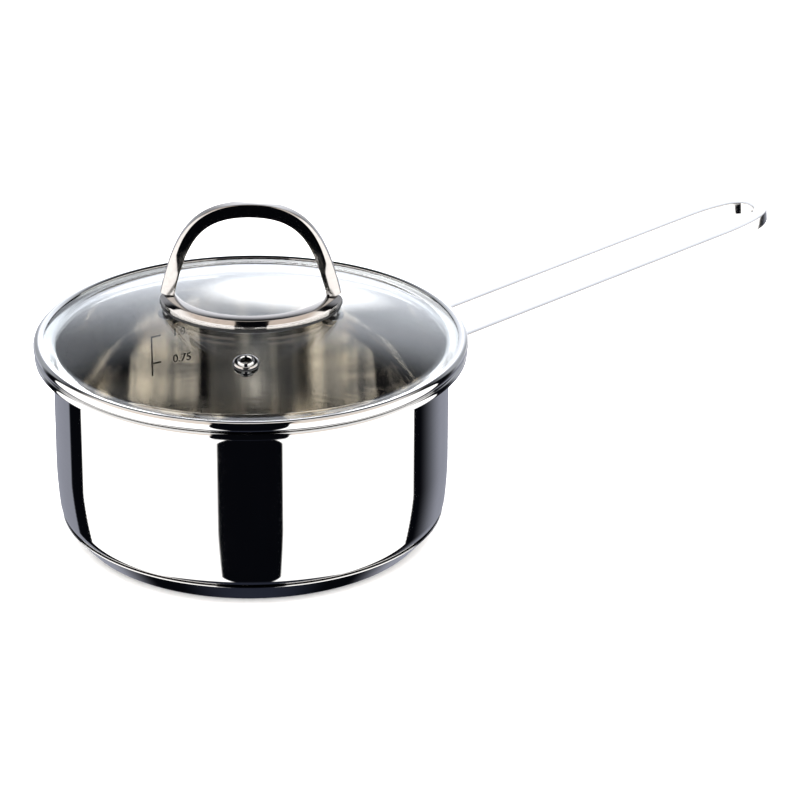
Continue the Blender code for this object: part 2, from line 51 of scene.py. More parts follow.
# Pot
BODY_RADIUS = 80.8
WALL = 0.8
POT_HEIGHT = 80.0
RIM_RADIUS = 88.2
LIP_BEND = 2.2
LIP_BLEND = 110
BOTTOM_HEIGHT = 4.8
BOTTOM_CORNER = 10.0
TAPER_TOP = 34.0           # the wall leans in gently from here down to its bottom corner
TAPER = 6
CAP_WALL = 0.5
CAP_FOOT_RADIUS = 70.0
CAP_FOOT_CORNER = 2.6
CAP_TOP_RADIUS = 78.9
CAP_TOP_HEIGHT = 9.2
CAP_CORNER_END = 40

# Handle
HANDLE_RISE = math.radians(4.9)
HANDLE_AXIS_HEIGHT = 53.5
HANDLE_LENGTH = 276.0
HANDLE_HALF_WIDTH = 12.85
HANDLE_END_LENGTH = 33.0
HANDLE_END_ROUNDNESS = 2.6
HANDLE_END_STEPS = 96
HANDLE_STEP = 1.6          # between the cuts round the end bend
WELD_CUTS = (0.6, 1.8, 6.0)  # distances from the plate at which the bar is cut across
BEND_CUTS = (40.0, 2.0)      # distances before the end bend at which it is cut across
BAR_WIDTH = 5.8
BAR_HEIGHT = 5.4
BAR_EDGE = 0.35
PLATE_FACE = 82.9          # radius at which the bar ends meet the plate
WELD_FLARE = 0.7

# Lid
LID_TURN = math.radians(-37)
BAND_SHEET = 0.4
BAND_BOTTOM = 80.3
BAND_TOP = 84.8
BAND_RADIUS = 88.66
LIP_WIDTH = 1.3            # of the lip that slopes in from the band's nose to the glass
LIP_SLOPE = 12
FLANGE_SLOPE = 11          # of the flange that runs down inwards to the skirt
SKIRT_RADIUS = 79.0
SKIRT_BOTTOM = 74.0
SKIRT_BEND = 1.0
GLASS_THICKNESS = 3.1
GLASS_RADIUS = 87.3
GLASS_EDGE_TOP = 84.1
DOME_EDGE_RADIUS = 80.4
DOME_RISE = 14.4
DOME_RADIUS = (DOME_EDGE_RADIUS ** 2 + DOME_RISE ** 2) / (2 * DOME_RISE)
DOME_CENTRE = GLASS_EDGE_TOP + DOME_RISE - DOME_RADIUS
DOME_FILLET = 7.0

# Knob
FOOT_OUTER = 37.9
FOOT_INNER = 31.9
FOOT_CENTRE = 9.4
FOOT_BACK = 2.3
FOOT_TOP = 102.4
FOOT_DEPTH = 8.0           # of the corners that lie below the crescent's faces
FOOT_CHAMFER = 1.6
FOOT_FALL = 0.6            # the crescent's top falls outwards by this much
GASKET_THICKNESS = 1.4
GASKET_SETBACK = 0.6
GAP = 0.3
ARCH_HALF_WIDTH = 33.9     # of its middle line, where it meets the crescent
ARCH_HEIGHT = 36.8
ARCH_TOP_REACH = 23.0      # how far its top and its legs pull the curve between them
ARCH_LEG_REACH = 24.0
ARCH_SPLAY = math.radians(13)
ARCH_RADIAL = 5.8
ARCH_DEPTH = 4.6
ARCH_BEVEL_TOP = 0.4
ARCH_LEAN = 0.25           # the outer face falls this much to the front
ARCH_TWIST = 0.75          # the front of the legs falls this much to the outside
ARCH_BEVEL_LEG = 2.3
ARCH_BEVEL_RATE = 1.3      # how soon the bevel reaches the leg's value on the way down
ARCH_TWIST_RATE = 4.0
ARCH_TWIST_START = 1.9
EDGE_ROUND = 0.3

# Small parts, as outlines of (radius, height above the glass's outer face)
SCREW_OFFSET = 33.0
VENT_OFFSET = 50.0
GLASS_HOLES = ((SCREW_OFFSET, 0.0, 2.8), (-SCREW_OFFSET, 0.0, 2.8), (0.0, -VENT_OFFSET, 3.1))
HOLE_LOW = -9.0
HOLE_HIGH = 6.0
SMALL_EDGE = 0.12
VENT_GASKET = ((3.1, 0.7), (5.5, 0.7), (5.5, 0.3), (3.1, 0.3))
VENT_WASHER = ((3.1, -3.4), (4.8, -3.4), (4.8, -4.0), (3.1, -4.0))
VENT_EYELET = ((2.2, -4.9), (2.2, 2.1), (2.5, 2.5), (3.0, 2.5), (3.4, 2.1), (3.4, 1.6), (4.4, 1.7),
               (5.1, 1.4), (5.1, 1.0), (2.8, 1.0), (2.8, -4.3), (3.9, -4.3), (3.9, -4.9))
KNOB_BUSH = ((1.8, -0.3), (2.5, -0.3), (2.5, -3.4), (5.0, -3.4), (5.0, -4.6), (1.8, -4.6))
KNOB_WASHER = ((1.8, -4.9), (4.6, -4.9), (4.6, -5.7), (1.8, -5.7))
KNOB_SCREW = ((0.0, 5.2), (1.5, 5.2), (1.5, -6.0), (3.4, -6.0), (3.4, -7.6), (2.6, -8.2), (0.0, -8.2))

# Volume marks on the inner wall
MARK_AZIMUTH = math.radians(87.6)
MARKS = ((42.5, "0.75"), (54.8, "1.0"))
MARK_BOTTOM = 36.8
MARK_TICK = 4.4
MARK_TEXT_GAP = 5.6
MARK_TEXT_SIZE = 5.0
MARK_WIDTH = 0.7
MARK_PROUD = 0.03
MARK_BOLD = 0.06

# Camera
CAMERA_TARGET = Vector((48.6, -36.65, 55.8)) * MM
CAMERA_BACK = Vector((-0.5494, -0.7291, 0.4080)).normalized()
CAMERA_DISTANCE = 1528.4 * MM
CAMERA_ROLL = math.radians(0.37)
CAMERA_LENS = 167.35
CAMERA_SENSOR = 36.0

# Materials
HAIR_ALONG = 6.0           # how often hairlines change along their length, per metre
HAIR_ACROSS = 900.0
CLOUD_SCALE = 28.0         # of cloudy wear in a polish
WAVE_SCALE = 22.0          # of the waviness of sheet metal
BROAD_REFLECTION_BANDS = (2.6, 3.0)   # how often the painted reflection bands inside the pot change round the wall, and up it
BROAD_REFLECTION_EDGES = (0.42, 0.58)
# the same for the finer painted reflection bands
FINE_REFLECTION_BANDS = (16.0, 4.0)
FINE_REFLECTION_EDGES = (0.35, 0.65)
REFLECTION_AND_HAIR_SHARES = (0.74, 0.14, 0.12)     # of broad and fine painted reflection bands and of real hairlines in the tone
BAND_HAIR_DEPTH = 0.0008
GLASS_TINTS = ((0.955, 0.985, 0.975, 1.0), (0.985, 0.995, 0.995, 1.0))
GLASS_HAZE = (0.0, 0.02)
GLASS_IOR = 1.5
GLASS_WAVE_DEPTH = 0.01
SPECK_SCALE = 1600.0       # of the specks in silicone and in the etched scale
SPECK_DEPTH = 0.02
FLOOR_TONES = ((0.93, 0.93, 0.93, 1.0), (0.95, 0.95, 0.95, 1.0))

# Studio, with azimuth and elevation in degrees and azimuth 0 toward the camera. Pairs are the
# start and end of a soft edge, or a position in azimuth and elevation. A light is its colour
# and its strength.
GAP_MIDDLE = (0.0135, 0.124)         # of the dark gap between the front walls, sideways and up
GAP_HALF = (0.335, 1.117)
GAP_SOFT = 0.02
WALL_MIDDLE = (-2.1, 30.0)
WALL_HALF = (113.1, 94.0)
WALL_CORNER = (13.0, 40.0)
WALL_SOFT = 0.05
WALL_LIGHT = ((1.0, 0.99, 0.98), 2.1)
EAVES_START = (32, 48)               # the elevations over which the walls turn into eaves
EAVES_LIGHT = ((1.0, 0.88, 0.78), 1.2)
ROOF_START = (40, 52)
ROOF_FRONT = (108, 118)
ROOF_HOLE_MIDDLE = (180.0, 54.0)
ROOF_HOLE_HALF = (34.0, 17.0)
ROOF_HOLE_SOFT = 0.25
ROOF_LIGHT = ((1.0, 0.97, 0.94), 1.2)
WING_LEFT = (-131.5, -129)
WING_RIGHT = (117, 150)
WING_GREY = 0.42
WING_HEIGHTS = ((-54, -38), (-10, 6))
WING_LIGHT = ((0.82, 0.85, 1.0), 1.0)
SWEEP_FRONT = (122, 135)
SWEEP_BASE = 0.35                    # strength beside the brighter middle of the sweep
SWEEP_MIDDLE = 0.65
SWEEP_BEARINGS = ((150, 170), (186, 202))
SWEEP_HEIGHTS = ((-22, 0), (26, 43))
SWEEP_LIGHT = ((0.88, 0.92, 1.0), 1.6)
LAMP_MIDDLE = (179.0, 14.5)
LAMP_HALF = (6.0, 9.0)
LAMP_SOFT = 0.5
LAMP_LIGHT = ((1.0, 1.0, 1.0), 3.2)
GROUND_START = (-72, -60)
GROUND_LIGHT = ((0.56, 0.64, 1.0), 0.05)
WHITE = (1.0, 1.0, 1.0, 1.0)
FLOOR_REACH = 6.0
KEY_SIZE = 4.0
KEY_HEIGHT = 2.4
KEY_POWER = 260.0


# Mesh building

def arc(centre, radius, start, end, steps):
    """Points of an arc in a section, from one angle in degrees to another."""
    points = []
    for i in range(steps + 1):
        angle = math.radians(start + (end - start) * i / steps)
        points.append((centre[0] + radius * math.cos(angle), centre[1] + radius * math.sin(angle)))
    return points


def supported(points, near=0.25, least=1.5):
    """The same outline with a point near both ends of each long straight stretch."""
    made = [points[0]]
    for a, b in zip(points, points[1:]):
        length = math.dist(a, b)
        if length > least:
            share = near / length
            made.append(tuple(p + (q - p) * share for p, q in zip(a, b)))
            made.append(tuple(q + (p - q) * share for p, q in zip(a, b)))
        made.append(b)
    return made


def rounded(corners, radius, steps=3):
    """A closed outline whose corners are rounded to a radius."""
    made = []
    count = len(corners)
    for i, corner in enumerate(corners):
        here = Vector(corner)
        before = Vector(corners[i - 1]) - here
        after = Vector(corners[(i + 1) % count]) - here
        reach = min(radius, before.length * 0.45, after.length * 0.45)
        a = here + before.normalized() * reach
        b = here + after.normalized() * reach
        for k in range(steps + 1):
            t = k / steps
            point = a * (1 - t) ** 2 + here * 2 * t * (1 - t) + b * t ** 2
            made.append(tuple(point))
    return made


def loft(name, rings, wrap=False, loop=True, caps=False, materials=None, index_of=None):
    """A skin over rings of points in millimetres. wrap joins the last ring to the first,
    loop closes each ring, and caps closes the two ends."""
    mesh = bpy.data.meshes.new(name)
    work = bmesh.new()
    rows = [[work.verts.new(Vector(p) * MM) for p in ring] for ring in rings]
    pairs = list(zip(rows, rows[1:]))
    if wrap:
        pairs.append((rows[-1], rows[0]))
    count = len(rows[0])
    for a, b in pairs:
        for i in range(count if loop else count - 1):
            j = (i + 1) % count
            face = work.faces.new((a[i], a[j], b[j], b[i]))
            if index_of:
                face.material_index = index_of(i)
    if caps:
        work.faces.new(rows[0])
        work.faces.new(list(reversed(rows[-1])))
    bmesh.ops.remove_doubles(work, verts=work.verts, dist=0.0005 * MM)
    bmesh.ops.recalc_face_normals(work, faces=work.faces)
    for face in work.faces:
        face.smooth = True
    work.to_mesh(mesh)
    work.free()
    mesh.set_sharp_from_angle(angle=SHARP_ANGLE)
    thing = bpy.data.objects.new(name, mesh)
    bpy.context.scene.collection.objects.link(thing)
    for material in materials or []:
        mesh.materials.append(material)
    return thing


def turned(name, outline, materials, steps=ROUND, index_of=None, place=None):
    """A solid turned about Z from an outline of (radius, height) points, then placed."""
    rings = []
    for i in range(steps):
        angle = 2 * math.pi * i / steps
        rings.append([(r * math.cos(angle), r * math.sin(angle), z) for r, z in outline])
    axial = outline[0][0] == 0 and outline[-1][0] == 0
    thing = loft(name, rings, wrap=True, loop=not axial, materials=materials, index_of=index_of)
    if place is not None:
        thing.data.transform(place)
    return thing


def finish_piece(piece, body, slot, *nodes):
    """Seat a piece on its body in place of its CAD nodes. The slot it is given is not used."""
    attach(piece, body)
    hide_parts(*nodes)
    return piece


# Pot

def pot_centres():
    """Centres of the rim's lip and of the flare under it, and the flare's radius."""
    lip = (RIM_RADIUS - LIP_BEND, POT_HEIGHT - LIP_BEND)
    under = LIP_BEND - WALL
    blend = math.radians(LIP_BLEND)
    flare = (lip[0] + under * math.cos(blend) - BODY_RADIUS) / (1 + math.cos(blend))
    flare_z = lip[1] + under * math.sin(blend) - flare * math.sin(blend)
    return lip, (BODY_RADIUS + flare, flare_z), flare


def bottom_corner():
    """Centres of the wall's taper and of the corner below it, and the taper's radius."""
    corner_z = BOTTOM_HEIGHT + BOTTOM_CORNER
    lean = math.radians(TAPER)
    radius = (TAPER_TOP - corner_z + BOTTOM_CORNER * math.sin(lean)) / math.sin(lean)
    taper = (BODY_RADIUS - radius, TAPER_TOP)
    return taper, (taper[0] + (radius - BOTTOM_CORNER) * math.cos(lean), corner_z), radius


def make_pot(steel, satin):
    """The drawn shell, satin inside and polished outside."""
    lip, flare_centre, flare = pot_centres()
    taper, corner, taper_radius = bottom_corner()
    inside = [(0.0, BOTTOM_HEIGHT + WALL)]
    inside += arc(corner, BOTTOM_CORNER - WALL, -90, -TAPER, 24)
    inside += arc(taper, taper_radius - WALL, -TAPER, 0, 8)[1:]
    inside += arc(flare_centre, flare + WALL, 180, LIP_BLEND, 16)
    inside = supported(inside)
    outside = arc(lip, LIP_BEND, LIP_BLEND, 0, 20)[1:]
    outside += arc((RIM_RADIUS - WALL / 2, lip[1]), WALL / 2, 0, -180, 8)[1:]
    outside += arc(lip, LIP_BEND - WALL, 0, LIP_BLEND, 12)[1:]
    outside += arc(flare_centre, flare, LIP_BLEND, 180, 24)[1:]
    outside += arc(taper, taper_radius, 0, -TAPER, 12)
    outside += arc(corner, BOTTOM_CORNER, -TAPER, -90, 32)[1:]
    outside.append((0.0, BOTTOM_HEIGHT))
    outside = supported(outside)
    split = len(inside) - 1
    pot = turned("pot_shell", inside + outside, [steel, satin],
                 index_of=lambda i: 1 if i < split else 0)
    return finish_piece(pot, "pot", "pot_steel", "pot_body")


def make_base(steel):
    """The pressed cap under the pot."""
    corner = (CAP_FOOT_RADIUS, CAP_FOOT_CORNER)
    edge = CAP_WALL / 2
    outer = arc(corner, CAP_FOOT_CORNER, -CAP_CORNER_END, -90, 12)
    inner = arc(corner, CAP_FOOT_CORNER - CAP_WALL, -90, -CAP_CORNER_END, 8)
    top = (CAP_TOP_RADIUS - edge, CAP_TOP_HEIGHT - edge)
    outline = [(0.0, CAP_WALL)] + inner
    outline += arc(top, edge, 140, -CAP_CORNER_END, 8)
    outline += outer + [(0.0, 0.0)]
    base = turned("base_shell", supported(outline), [steel])
    return finish_piece(base, "pot", "base_steel", "base_cap")


def handle_path():
    """Middle line of the looped bar, as points along it and across its plane."""
    bend_start = HANDLE_LENGTH - HANDLE_END_LENGTH
    power = 2 / HANDLE_END_ROUNDNESS
    cuts = [BODY_RADIUS] + [PLATE_FACE + cut for cut in WELD_CUTS]
    cuts += [bend_start - cut for cut in BEND_CUTS]
    straight = [(cut, HANDLE_HALF_WIDTH) for cut in cuts]
    bend = []
    for i in range(HANDLE_END_STEPS + 1):
        angle = math.pi * i / HANDLE_END_STEPS
        c = math.cos(angle)
        across = math.copysign(abs(c) ** power, c) * HANDLE_HALF_WIDTH
        along = bend_start + HANDLE_END_LENGTH * max(math.sin(angle), 0.0) ** power
        bend.append((along, across))
    return straight + even(bend, HANDLE_STEP) + [(x, -y) for x, y in reversed(straight)]


def even(path, step):
    """A path resampled to even steps."""
    part = [Vector(p) for p in path]
    lengths = [0.0]
    for a, b in zip(part, part[1:]):
        lengths.append(lengths[-1] + (b - a).length)
    count = max(2, round(lengths[-1] / step))
    made = []
    for k in range(count + 1):
        want = lengths[-1] * k / count
        i = max(j for j in range(len(part)) if lengths[j] <= want + 1e-9)
        if i == len(part) - 1:
            made.append(part[-1])
        else:
            share = (want - lengths[i]) / (lengths[i + 1] - lengths[i])
            made.append(part[i].lerp(part[i + 1], share))
    return [tuple(p) for p in made]


def path_normals(path):
    """Directions that point out of the loop at each point of its middle line."""
    normals = []
    for i in range(len(path)):
        a = Vector(path[max(i - 1, 0)])
        b = Vector(path[min(i + 1, len(path) - 1)])
        tangent = (b - a).normalized()
        normals.append(Vector((-tangent.y, tangent.x)))
    return normals


def make_handle(steel):
    """The square bar, its ends flared a little at the plate."""
    path = handle_path()
    normals = path_normals(path)
    half_w, half_h = BAR_WIDTH / 2, BAR_HEIGHT / 2
    square = [(-half_w, -half_h), (half_w, -half_h), (half_w, half_h), (-half_w, half_h)]
    section = rounded(square, BAR_EDGE, 4)
    place = (Matrix.Translation((0.0, 0.0, HANDLE_AXIS_HEIGHT))
             @ Matrix.Rotation(-HANDLE_RISE, 4, "Y"))
    rings = []
    for index, ((x, y), normal) in enumerate(zip(path, normals)):
        from_end = min(index, len(path) - 1 - index)
        grow = WELD_FLARE if from_end <= 1 else 0.0
        ring = []
        for u, v in section:
            wide = u + math.copysign(grow, u)
            high = v + math.copysign(grow, v)
            point = place @ Vector((x + normal.x * wide, y + normal.y * wide, high))
            if from_end == 0:
                point = slid_to_plate(point)
            ring.append(tuple(point))
        rings.append(ring)
    handle = loft("loop_handle", rings, caps=True, materials=[steel])
    return finish_piece(handle, "pot", "handle_steel", "handle_loop")


def slid_to_plate(point):
    """Move a point along the handle until it lies on the plate's curved face."""
    along = math.sqrt(PLATE_FACE ** 2 - point.y ** 2) - point.x
    return Vector((point.x + along, point.y, point.z + along * math.tan(HANDLE_RISE)))


def on_inner_wall(along, height, proud):
    """A point at the pot's inner wall, along the wall to the right of the scale's line."""
    radius = BODY_RADIUS - WALL - proud
    angle = MARK_AZIMUTH - along / radius
    return Vector((radius * math.cos(angle), radius * math.sin(angle), height))


def mark_strip(name, left, right, low, high, material):
    """A thin etched strip on the inner wall."""
    steps = 8
    section = ((low, MARK_PROUD), (high, MARK_PROUD), (high, 0.0), (low, 0.0))
    rings = []
    for i in range(steps + 1):
        along = left + (right - left) * i / steps
        rings.append([tuple(on_inner_wall(along, z, proud)) for z, proud in section])
    strip = loft(name, rings, caps=True, materials=[material])
    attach(strip, "pot")


def mark_number(name, text, height, material):
    """A number etched on the inner wall beside its tick."""
    curve = bpy.data.curves.new(name, "FONT")
    curve.body = text
    curve.size = MARK_TEXT_SIZE
    curve.extrude = MARK_PROUD / 2
    curve.offset = MARK_BOLD
    curve.align_y = "CENTER"
    source = bpy.data.objects.new(name + "_source", curve)
    bpy.context.scene.collection.objects.link(source)
    bpy.context.view_layer.update()
    evaluated = source.evaluated_get(bpy.context.evaluated_depsgraph_get())
    mesh = bpy.data.meshes.new_from_object(evaluated)
    bpy.data.objects.remove(source, do_unlink=True)
    start = MARK_TICK + MARK_TEXT_GAP
    for vertex in mesh.vertices:
        across, up, out = vertex.co
        place = on_inner_wall(start + across, height + up, out + MARK_PROUD / 2)
        vertex.co = place * MM
    mesh.materials.clear()
    mesh.materials.append(material)
    number = bpy.data.objects.new(name, mesh)
    bpy.context.scene.collection.objects.link(number)
    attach(number, "pot")


def make_marks(material):
    """The volume scale: a line with a tick and a number for each volume."""
    top = MARKS[-1][0]
    mark_strip("scale_line", -MARK_WIDTH / 2, MARK_WIDTH / 2, MARK_BOTTOM, top + MARK_WIDTH / 2,
               material)
    for index, (height, text) in enumerate(MARKS):
        mark_strip("scale_tick_%d" % index, MARK_WIDTH / 2, MARK_TICK,
                   height - MARK_WIDTH / 2, height + MARK_WIDTH / 2, material)
        mark_number("scale_number_%d" % index, text, height, material)


# Lid

def dome_height(radius, offset=0.0):
    """Height of the glass's outer sphere, or of one offset from it, at a radius."""
    return DOME_CENTRE + math.sqrt((DOME_RADIUS + offset) ** 2 - radius ** 2)


def dome_outline(offset, fillet, flat_top):
    """A glass face from the axis to the flat edge, with a fillet between them."""
    centre_z = flat_top + fillet
    reach = DOME_RADIUS + offset + fillet
    centre_r = math.sqrt(reach ** 2 - (centre_z - DOME_CENTRE) ** 2)
    tilt = math.degrees(math.atan2(centre_r, centre_z - DOME_CENTRE))
    touch = centre_r * (DOME_RADIUS + offset) / reach
    steps = 64
    points = [(touch * i / steps, dome_height(touch * i / steps, offset)) for i in range(steps + 1)]
    points += arc((centre_r, centre_z), fillet, 270 - tilt, 270, 8)[1:]
    return points


def glass_frame(x, y):
    """A frame on the glass's outer face at x, y of the lid whose Z points out of it."""
    point = Vector((x, y, dome_height(math.hypot(x, y))))
    normal = (point - Vector((0.0, 0.0, DOME_CENTRE))).normalized()
    turn = normal.to_track_quat("Z", "Y").to_matrix().to_4x4()
    return Matrix.Translation(point * MM) @ turn


def lid_place():
    return Matrix.Rotation(LID_TURN, 4, "Z")


def make_glass(glass):
    """The domed glass with its three holes."""
    upper = dome_outline(0.0, DOME_FILLET, GLASS_EDGE_TOP)
    lower = dome_outline(-GLASS_THICKNESS, DOME_FILLET + GLASS_THICKNESS,
                         GLASS_EDGE_TOP - GLASS_THICKNESS)
    half = GLASS_THICKNESS / 2
    rim = arc((GLASS_RADIUS - half, GLASS_EDGE_TOP - half), half, 90, -90, 16)
    outline = upper + rim + list(reversed(lower))
    dome = turned("glass_dome", outline, [glass])
    drill(dome)
    return finish_piece(dome, "lid", "lid_glass", "lid_glass")


def drill(dome):
    """Cut the screws' and the vent's holes square through the glass."""
    holes = []
    for x, y, radius in GLASS_HOLES:
        outline = [(0.0, HOLE_LOW), (radius, HOLE_LOW), (radius, HOLE_HIGH), (0.0, HOLE_HIGH)]
        hole = turned("glass_hole", outline, [], SMALL_ROUND, place=lid_place() @ glass_frame(x, y))
        boolean = dome.modifiers.new("hole", "BOOLEAN")
        boolean.object = hole
        boolean.solver = "EXACT"
        holes.append(hole)
    bpy.context.view_layer.update()
    evaluated = dome.evaluated_get(bpy.context.evaluated_depsgraph_get())
    cut = bpy.data.meshes.new_from_object(evaluated)
    dome.modifiers.clear()
    dome.data = cut
    cut.set_sharp_from_angle(angle=SHARP_ANGLE)
    for hole in holes:
        bpy.data.objects.remove(hole, do_unlink=True)


def make_rim(steel):
    """The rolled band: a lip on the glass, a nose, a flange and a skirt inside the pot."""
    half = (BAND_TOP - BAND_BOTTOM) / 2
    nose = (BAND_RADIUS - half, BAND_BOTTOM + half)
    edge = BAND_SHEET / 2
    start = 90 + LIP_SLOPE
    drop = (nose[0] - SKIRT_RADIUS) * math.tan(math.radians(FLANGE_SLOPE))
    skirt = (SKIRT_RADIUS + SKIRT_BEND, BAND_BOTTOM - SKIRT_BEND - drop)
    bend = 90 + FLANGE_SLOPE
    outer = arc(nose, half, start, -90, 36) + arc(skirt, SKIRT_BEND, bend, 180, 8)
    inner = arc(skirt, SKIRT_BEND + BAND_SHEET, 180, bend, 8)
    inner += arc(nose, half - BAND_SHEET, -90, start, 28)
    root = arc(nose, half - edge, start, start, 1)[0]
    slope = math.radians(LIP_SLOPE)
    tip = (root[0] - LIP_WIDTH * math.cos(slope), root[1] - LIP_WIDTH * math.sin(slope))
    lip = arc(tip, edge, start + 180, start, 8)
    foot = arc((SKIRT_RADIUS - edge, SKIRT_BOTTOM), edge, 360, 180, 8)
    outline = supported(lip + outer + foot + inner + lip[:1])[:-1]
    band = turned("rim_ring", outline, [steel])
    return finish_piece(band, "lid", "rim_steel", "lid_rim_band")


def crescent(name, profile, back, steps, material):
    """Part of a ring in front of a plane. The profile's points are (radius, height, whether
    the height is measured from the glass)."""
    rings = []
    for i in range(steps + 1):
        ring = []
        for radius, height, on_glass in profile:
            end = math.asin((back - FOOT_CENTRE) / radius)
            angle = end - (math.pi + 2 * end) * i / steps
            x = radius * math.cos(angle)
            y = FOOT_CENTRE + radius * math.sin(angle)
            ring.append((x, y, height + (dome_height(math.hypot(x, y)) if on_glass else 0.0)))
        rings.append(ring)
    piece = loft(name, rings, caps=True, materials=[material])
    piece.data.transform(lid_place())
    return piece


def arch_section(bevel, twist):
    """The grip's section: across its middle line, and from back to front."""
    h, d = ARCH_RADIAL / 2, ARCH_DEPTH / 2
    corners = [(-h, d), (-h, -d), (h - bevel, -d + twist), (h - ARCH_LEAN, -d + bevel + twist), (h, d)]
    return rounded(corners, EDGE_ROUND, 3)


def arch_guides():
    """Guide points of the right half of the arch's middle line, from its leg to its top."""
    leg = (ARCH_HALF_WIDTH - ARCH_LEG_REACH * math.sin(ARCH_SPLAY),
           ARCH_LEG_REACH * math.cos(ARCH_SPLAY))
    return [Vector(p) for p in ((ARCH_HALF_WIDTH, 0.0), leg, (ARCH_TOP_REACH, ARCH_HEIGHT),
                                (0.0, ARCH_HEIGHT))]


def arch_station(t):
    """Point and outward normal of the middle line, t from 0 at the right leg to 2 at the left."""
    side = 1 if t <= 1 else -1
    t = t if t <= 1 else 2 - t
    a, b, c, d = arch_guides()
    point = a * (1 - t) ** 3 + b * 3 * t * (1 - t) ** 2 + c * 3 * t * t * (1 - t) + d * t ** 3
    slope = (b - a) * 3 * (1 - t) ** 2 + (c - b) * 6 * t * (1 - t) + (d - c) * 3 * t * t
    normal = Vector((slope.y, -slope.x)).normalized()
    return Vector((side * point.x, point.y)), Vector((side * normal.x, normal.y))


def make_arch(steel):
    """The grip, its level ends standing on the crescent."""
    steps = 144
    floor = FOOT_TOP + GAP / 2
    rings = []
    for i in range(steps + 1):
        point, normal = arch_station(2 * i / steps)
        low = 1 - point.y / ARCH_HEIGHT
        bevel = ARCH_BEVEL_TOP + (ARCH_BEVEL_LEG - ARCH_BEVEL_TOP) * min(1.0, ARCH_BEVEL_RATE * low)
        twist = ARCH_TWIST * min(1.0, max(0.0, ARCH_TWIST_RATE * low - ARCH_TWIST_START))
        along = Vector((-normal.y, normal.x))
        ring = []
        for u, v in arch_section(bevel, twist):
            place = point + normal * u
            if i in (0, steps):
                place -= along * (place.y / along.y)
            ring.append((place.x, v, floor + place.y))
        rings.append(ring)
    arch = loft("arch_grip", rings, caps=True, materials=[steel])
    arch.data.transform(lid_place())
    return finish_piece(arch, "lid", "knob_steel", "knob_arch")


def make_foot(steel):
    """The crescent in front of the arch, its underside seated over the pad."""
    top, low = FOOT_TOP, FOOT_TOP - FOOT_DEPTH
    corners = [(FOOT_INNER, low), (FOOT_INNER, top), (FOOT_OUTER - FOOT_CHAMFER, top - FOOT_FALL),
               (FOOT_OUTER, top - FOOT_FALL - FOOT_CHAMFER), (FOOT_OUTER, low)]
    faces = rounded(corners, EDGE_ROUND)[4:-4]
    across = [FOOT_INNER + (FOOT_OUTER - FOOT_INNER) * k / 4 for k in range(4, -1, -1)]
    profile = [(radius, height, False) for radius, height in faces]
    profile += [(radius, GASKET_THICKNESS + 2 * GAP, True) for radius in across]
    foot = crescent("crescent_foot", profile, FOOT_BACK, 160, steel)
    finish_piece(foot, "lid", "knob_steel", "knob_foot")


def make_pad(silicone):
    """The silicone pad between the crescent and the glass, bent to the glass."""
    inner, outer = FOOT_INNER + GASKET_SETBACK, FOOT_OUTER - GASKET_SETBACK
    across = [inner + (outer - inner) * k / 4 for k in range(5)]
    profile = [(radius, GASKET_THICKNESS + GAP, True) for radius in across]
    profile += [(radius, GAP, True) for radius in reversed(across)]
    pad = crescent("crescent_pad", profile, FOOT_BACK - GASKET_SETBACK, 120, silicone)
    finish_piece(pad, "lid", "silicone", "knob_gasket")


def small_turning(name, outline, material, x, y, slot, node):
    """A small turned part square to the glass that stands for a CAD node."""
    made = turned(name, outline, [material], SMALL_ROUND, place=lid_place() @ glass_frame(x, y))
    return finish_piece(made, "lid", slot, node)


def make_vent(steel, silicone):
    """The steam vent's ring, eyelet and washer."""
    for name, outline, material, slot, node in (
            ("vent_ring", VENT_GASKET, silicone, "silicone", "vent_gasket"),
            ("vent_backing", VENT_WASHER, steel, "fixing_steel", "vent_washer"),
            ("vent_collar", VENT_EYELET, steel, "fixing_steel", "vent_eyelet")):
        small_turning(name, rounded(outline, SMALL_EDGE), material, 0.0, -VENT_OFFSET, slot, node)


def make_fixings(steel, silicone):
    """The bush, washer and screw under each end of the crescent."""
    bush, washer = rounded(KNOB_BUSH, SMALL_EDGE), rounded(KNOB_WASHER, SMALL_EDGE)
    screw = supported(KNOB_SCREW, 0.08, 0.5)
    for side, x in (("right", SCREW_OFFSET), ("left", -SCREW_OFFSET)):
        small_turning("bush_" + side, bush, silicone, x, 0.0, "silicone", "knob_bush_" + side)
        small_turning("washer_" + side, washer, steel, x, 0.0, "fixing_steel", "knob_washer_" + side)
        small_turning("screw_" + side, screw, steel, x, 0.0, "fixing_steel", "knob_screw_" + side)


# Materials

